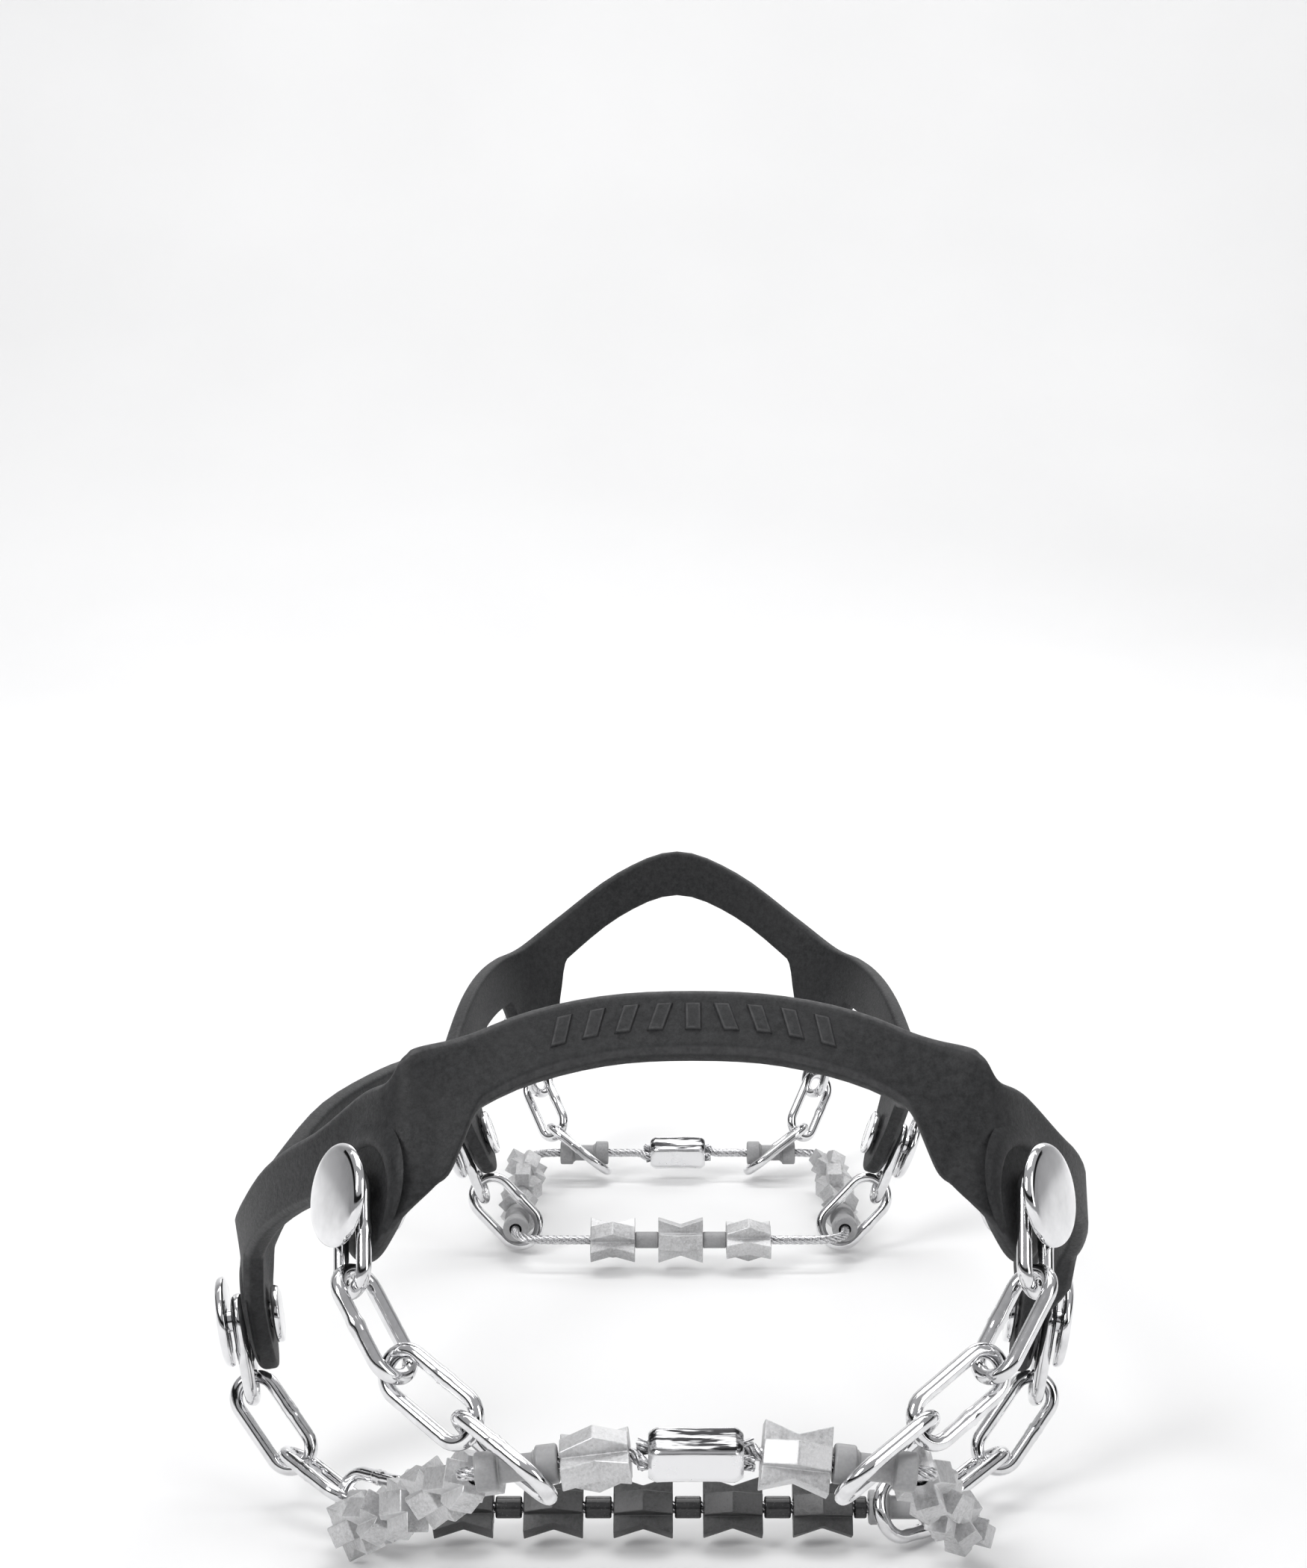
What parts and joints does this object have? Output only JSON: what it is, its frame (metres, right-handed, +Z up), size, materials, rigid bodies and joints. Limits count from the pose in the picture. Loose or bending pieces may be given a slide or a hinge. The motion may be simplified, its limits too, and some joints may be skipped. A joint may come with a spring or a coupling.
{
  "type": "shoe ice cleats",
  "caption": "Slip-on boot traction device: a moulded rubber band with riveted chain links that hold forefoot and heel wire-rope loops threaded with star-shaped steel beads.",
  "frame": {"origin": "middle of the boot's sole at tread level, the point the stretched band and nets are centred on", "axes": "+Z up, -Y towards the toe, +Y towards the heel, -X the outer side of a right boot"},
  "size_m": [0.1384, 0.3091, 0.092],
  "materials": {
    "rubber": "matte",
    "rivet_chrome": "polished",
    "chain_nickel": "bright plated",
    "bead_steel": "cast, satin",
    "rope_steel": "stranded wire",
    "ferrule_steel": "crimped, bright",
    "grey_sleeve": "semi-gloss"
  },
  "bodies": {
    "band": {"forefoot_cable": "rope_steel", "forefoot_ferrule": "ferrule_steel", "heel_cable": "rope_steel", "heel_ferrule": "ferrule_steel", "outer_band": "rubber", "rivet_arch_left": "rivet_chrome", "rivet_arch_right": "rivet_chrome", "rivet_front_left": "rivet_chrome", "rivet_front_right": "rivet_chrome", "rivet_mid_left": "rivet_chrome", "rivet_mid_right": "rivet_chrome", "rivet_rear_left": "rivet_chrome", "rivet_rear_right": "rivet_chrome"},
    "arch_link_left_a": {"arch_link_left_a": "chain_nickel"},
    "arch_link_left_b": {"arch_link_left_b": "chain_nickel"},
    "arch_link_right_a": {"arch_link_right_a": "chain_nickel"},
    "arch_link_right_b": {"arch_link_right_b": "chain_nickel"},
    "arch_spool_left": {"arch_spool_left": "grey_sleeve"},
    "arch_spool_right": {"arch_spool_right": "grey_sleeve"},
    "diagonal_beads_left": {"diagonal_beads_left": "bead_steel"},
    "diagonal_beads_right": {"diagonal_beads_right": "bead_steel"},
    "front_bead_left": {"front_bead_left": "bead_steel"},
    "front_bead_right": {"front_bead_right": "bead_steel"},
    "front_link_left_a": {"front_link_left_a": "chain_nickel"},
    "front_link_left_b": {"front_link_left_b": "chain_nickel"},
    "front_link_left_c": {"front_link_left_c": "chain_nickel"},
    "front_link_left_d": {"front_link_left_d": "chain_nickel"},
    "front_link_right_a": {"front_link_right_a": "chain_nickel"},
    "front_link_right_b": {"front_link_right_b": "chain_nickel"},
    "front_link_right_c": {"front_link_right_c": "chain_nickel"},
    "front_link_right_d": {"front_link_right_d": "chain_nickel"},
    "front_spool_left": {"front_spool_left": "grey_sleeve"},
    "front_spool_right": {"front_spool_right": "grey_sleeve"},
    "heel_beads_left": {"heel_beads_left": "bead_steel"},
    "heel_beads_right": {"heel_beads_right": "bead_steel"},
    "heel_front_beads": {"heel_front_beads": "bead_steel"},
    "mid_bead_1": {"mid_bead_1": "bead_steel"},
    "mid_bead_2": {"mid_bead_2": "bead_steel"},
    "mid_bead_3": {"mid_bead_3": "bead_steel"},
    "mid_bead_4": {"mid_bead_4": "bead_steel"},
    "mid_bead_5": {"mid_bead_5": "bead_steel"},
    "mid_link_left_a": {"mid_link_left_a": "chain_nickel"},
    "mid_link_left_b": {"mid_link_left_b": "chain_nickel"},
    "mid_link_left_c": {"mid_link_left_c": "chain_nickel"},
    "mid_link_left_d": {"mid_link_left_d": "chain_nickel"},
    "mid_link_right_a": {"mid_link_right_a": "chain_nickel"},
    "mid_link_right_b": {"mid_link_right_b": "chain_nickel"},
    "mid_link_right_c": {"mid_link_right_c": "chain_nickel"},
    "mid_link_right_d": {"mid_link_right_d": "chain_nickel"},
    "mid_spool_left": {"mid_spool_left": "grey_sleeve"},
    "mid_spool_right": {"mid_spool_right": "grey_sleeve"},
    "rear_link_left_a": {"rear_link_left_a": "chain_nickel"},
    "rear_link_left_b": {"rear_link_left_b": "chain_nickel"},
    "rear_link_left_c": {"rear_link_left_c": "chain_nickel"},
    "rear_link_right_a": {"rear_link_right_a": "chain_nickel"},
    "rear_link_right_b": {"rear_link_right_b": "chain_nickel"},
    "rear_link_right_c": {"rear_link_right_c": "chain_nickel"},
    "rear_spool_left": {"rear_spool_left": "grey_sleeve"},
    "rear_spool_right": {"rear_spool_right": "grey_sleeve"}
  },
  "joints": [
    {"name": "arch_link_left_a_swing", "type": "hinge", "parent": "band", "child": "arch_link_left_a", "pos_m": [-0.04578, 0.067, 0.01293], "axis": [-0.9397, 0, -0.342], "range_deg": [-3, 3]},
    {"name": "arch_link_left_b_twist", "type": "hinge", "parent": "band", "child": "arch_link_left_b", "pos_m": [-0.03675, 0.06738, -0.00218], "axis": [0.6924, -0.117, -0.7119], "range_deg": [-8, 8]},
    {"name": "arch_link_right_a_swing", "type": "hinge", "parent": "band", "child": "arch_link_right_a", "pos_m": [0.04578, 0.067, 0.01293], "axis": [0.9397, 0, -0.342], "range_deg": [-3, 2]},
    {"name": "arch_link_right_b_twist", "type": "hinge", "parent": "band", "child": "arch_link_right_b", "pos_m": [0.03675, 0.06738, -0.00218], "axis": [-0.6924, -0.117, -0.7119], "range_deg": [-8, 8]},
    {"name": "arch_spool_left_spin", "type": "hinge", "parent": "band", "child": "arch_spool_left", "pos_m": [-0.0345, 0.067, -0.0045], "axis": [0, 1, 0], "continuous": true},
    {"name": "arch_spool_right_spin", "type": "hinge", "parent": "band", "child": "arch_spool_right", "pos_m": [0.0345, 0.067, -0.0045], "axis": [0, 1, 0], "continuous": true},
    {"name": "diagonal_beads_left_spin", "type": "hinge", "parent": "band", "child": "diagonal_beads_left", "pos_m": [-0.0411, -0.1191, 0.0069], "axis": [-0.394, 0.7982, -0.4556], "continuous": true},
    {"name": "diagonal_beads_right_spin", "type": "hinge", "parent": "band", "child": "diagonal_beads_right", "pos_m": [0.0363, -0.1191, 0.0069], "axis": [0.2148, 0.8482, -0.4842], "continuous": true},
    {"name": "front_bead_left_spin", "type": "hinge", "parent": "band", "child": "front_bead_left", "pos_m": [-0.01325, -0.15, 0.02545], "axis": [0.9929, 0, 0.1191], "continuous": true},
    {"name": "front_bead_right_spin", "type": "hinge", "parent": "band", "child": "front_bead_right", "pos_m": [0.01325, -0.15, 0.02545], "axis": [0.9929, 0, -0.1191], "continuous": true},
    {"name": "front_link_left_a_swing", "type": "hinge", "parent": "band", "child": "front_link_left_a", "pos_m": [-0.04777, -0.12535, 0.05428], "axis": [-0.8317, -0.4997, 0.2419], "range_deg": [-3, 2]},
    {"name": "front_link_left_b_twist", "type": "hinge", "parent": "band", "child": "front_link_left_b", "pos_m": [-0.04401, -0.13425, 0.0388], "axis": [0.4873, -0.4364, -0.7564], "range_deg": [-8, 8]},
    {"name": "front_link_left_c_twist", "type": "hinge", "parent": "band", "child": "front_link_left_c", "pos_m": [-0.03578, -0.141, 0.03082], "axis": [0.7259, -0.5572, -0.4033], "range_deg": [-8, 7]},
    {"name": "front_link_left_d_twist", "type": "hinge", "parent": "band", "child": "front_link_left_d", "pos_m": [-0.02552, -0.14868, 0.02519], "axis": [0.7401, -0.5392, -0.4018], "range_deg": [-6, 6]},
    {"name": "front_link_right_a_swing", "type": "hinge", "parent": "band", "child": "front_link_right_a", "pos_m": [0.04777, -0.12535, 0.05428], "axis": [0.8317, -0.4997, 0.2419], "range_deg": [-1, 3]},
    {"name": "front_link_right_b_twist", "type": "hinge", "parent": "band", "child": "front_link_right_b", "pos_m": [0.04401, -0.13425, 0.0388], "axis": [-0.4873, -0.4364, -0.7564], "range_deg": [-8, 8]},
    {"name": "front_link_right_c_twist", "type": "hinge", "parent": "band", "child": "front_link_right_c", "pos_m": [0.03578, -0.141, 0.03082], "axis": [-0.7259, -0.5572, -0.4033], "range_deg": [-7, 8]},
    {"name": "front_link_right_d_twist", "type": "hinge", "parent": "band", "child": "front_link_right_d", "pos_m": [0.02552, -0.14868, 0.02519], "axis": [-0.7401, -0.5392, -0.4018], "range_deg": [-6, 6]},
    {"name": "front_spool_left_spin", "type": "hinge", "parent": "band", "child": "front_spool_left", "pos_m": [-0.0237, -0.15, 0.0242], "axis": [0.9929, 0, 0.1191], "continuous": true},
    {"name": "front_spool_right_spin", "type": "hinge", "parent": "band", "child": "front_spool_right", "pos_m": [0.0237, -0.15, 0.0242], "axis": [0.9929, 0, -0.1191], "continuous": true},
    {"name": "heel_beads_left_spin", "type": "hinge", "parent": "band", "child": "heel_beads_left", "pos_m": [-0.0345, 0.09425, -0.0045], "axis": [0, 1, 0], "continuous": true},
    {"name": "heel_beads_right_spin", "type": "hinge", "parent": "band", "child": "heel_beads_right", "pos_m": [0.0345, 0.09425, -0.0045], "axis": [0, 1, 0], "continuous": true},
    {"name": "heel_front_beads_spin", "type": "hinge", "parent": "band", "child": "heel_front_beads", "pos_m": [0, 0.054, -0.0045], "axis": [1, 0, 0], "continuous": true},
    {"name": "mid_bead_1_spin", "type": "hinge", "parent": "band", "child": "mid_bead_1", "pos_m": [-0.035, -0.09, -0.005], "axis": [1, 0, 0], "continuous": true},
    {"name": "mid_bead_2_spin", "type": "hinge", "parent": "band", "child": "mid_bead_2", "pos_m": [-0.0211, -0.09, -0.005], "axis": [1, 0, 0], "continuous": true},
    {"name": "mid_bead_3_spin", "type": "hinge", "parent": "band", "child": "mid_bead_3", "pos_m": [-0.0072, -0.09, -0.005], "axis": [1, 0, 0], "continuous": true},
    {"name": "mid_bead_4_spin", "type": "hinge", "parent": "band", "child": "mid_bead_4", "pos_m": [0.0067, -0.09, -0.005], "axis": [1, 0, 0], "continuous": true},
    {"name": "mid_bead_5_spin", "type": "hinge", "parent": "band", "child": "mid_bead_5", "pos_m": [0.0206, -0.09, -0.005], "axis": [1, 0, 0], "continuous": true},
    {"name": "mid_link_left_a_swing", "type": "hinge", "parent": "band", "child": "mid_link_left_a", "pos_m": [-0.07231, -0.0695, 0.01848], "axis": [-0.9865, -0.0863, -0.1392], "range_deg": [-3, 2]},
    {"name": "mid_link_left_b_twist", "type": "hinge", "parent": "band", "child": "mid_link_left_b", "pos_m": [-0.06704, -0.07107, 0.00178], "axis": [0.5922, -0.3183, -0.7403], "range_deg": [-8, 8]},
    {"name": "mid_link_left_c_twist", "type": "hinge", "parent": "band", "child": "mid_link_left_c", "pos_m": [-0.05854, -0.07805, -0.00471], "axis": [0.6629, -0.7218, -0.1989], "range_deg": [-8, 8]},
    {"name": "mid_link_left_d_twist", "type": "hinge", "parent": "band", "child": "mid_link_left_d", "pos_m": [-0.04917, -0.0882, -0.00529], "axis": [0.6755, -0.7282, 0.1161], "range_deg": [-6, 6]},
    {"name": "mid_link_right_a_swing", "type": "hinge", "parent": "band", "child": "mid_link_right_a", "pos_m": [0.05811, -0.0695, 0.01848], "axis": [0.9865, -0.0863, -0.1392], "range_deg": [-2, 3]},
    {"name": "mid_link_right_b_twist", "type": "hinge", "parent": "band", "child": "mid_link_right_b", "pos_m": [0.05285, -0.07107, 0.00178], "axis": [-0.5922, -0.3183, -0.7403], "range_deg": [-8, 8]},
    {"name": "mid_link_right_c_twist", "type": "hinge", "parent": "band", "child": "mid_link_right_c", "pos_m": [0.04434, -0.07805, -0.00471], "axis": [-0.6629, -0.7218, -0.1989], "range_deg": [-8, 8]},
    {"name": "mid_link_right_d_twist", "type": "hinge", "parent": "band", "child": "mid_link_right_d", "pos_m": [0.03497, -0.0882, -0.00529], "axis": [-0.6755, -0.7282, 0.1161], "range_deg": [-6, 5]},
    {"name": "mid_spool_left_spin", "type": "hinge", "parent": "band", "child": "mid_spool_left", "pos_m": [-0.0475, -0.09, -0.005], "axis": [1, 0, 0], "continuous": true},
    {"name": "mid_spool_right_spin", "type": "hinge", "parent": "band", "child": "mid_spool_right", "pos_m": [0.0333, -0.09, -0.005], "axis": [1, 0, 0], "continuous": true},
    {"name": "rear_link_left_a_swing", "type": "hinge", "parent": "band", "child": "rear_link_left_a", "pos_m": [-0.03475, 0.13617, 0.02031], "axis": [-0.7912, 0.554, -0.2588], "range_deg": [-3, 3]},
    {"name": "rear_link_left_b_twist", "type": "hinge", "parent": "band", "child": "rear_link_left_b", "pos_m": [-0.03095, 0.13189, 0.00496], "axis": [0.3781, -0.6276, -0.6806], "range_deg": [-8, 8]},
    {"name": "rear_link_left_c_twist", "type": "hinge", "parent": "band", "child": "rear_link_left_c", "pos_m": [-0.02282, 0.12546, -0.00364], "axis": [0.7829, -0.2921, -0.5492], "range_deg": [-8, 8]},
    {"name": "rear_link_right_a_swing", "type": "hinge", "parent": "band", "child": "rear_link_right_a", "pos_m": [0.03475, 0.13617, 0.02031], "axis": [0.7912, 0.554, -0.2588], "range_deg": [-2, 3]},
    {"name": "rear_link_right_b_twist", "type": "hinge", "parent": "band", "child": "rear_link_right_b", "pos_m": [0.03095, 0.13189, 0.00496], "axis": [-0.3781, -0.6276, -0.6806], "range_deg": [-7, 8]},
    {"name": "rear_link_right_c_twist", "type": "hinge", "parent": "band", "child": "rear_link_right_c", "pos_m": [0.02282, 0.12546, -0.00364], "axis": [-0.7829, -0.2921, -0.5492], "range_deg": [-8, 8]},
    {"name": "rear_spool_left_spin", "type": "hinge", "parent": "band", "child": "rear_spool_left", "pos_m": [-0.0216, 0.125, -0.0045], "axis": [1, 0, 0], "continuous": true},
    {"name": "rear_spool_right_spin", "type": "hinge", "parent": "band", "child": "rear_spool_right", "pos_m": [0.0216, 0.125, -0.0045], "axis": [1, 0, 0], "continuous": true}
  ]
}
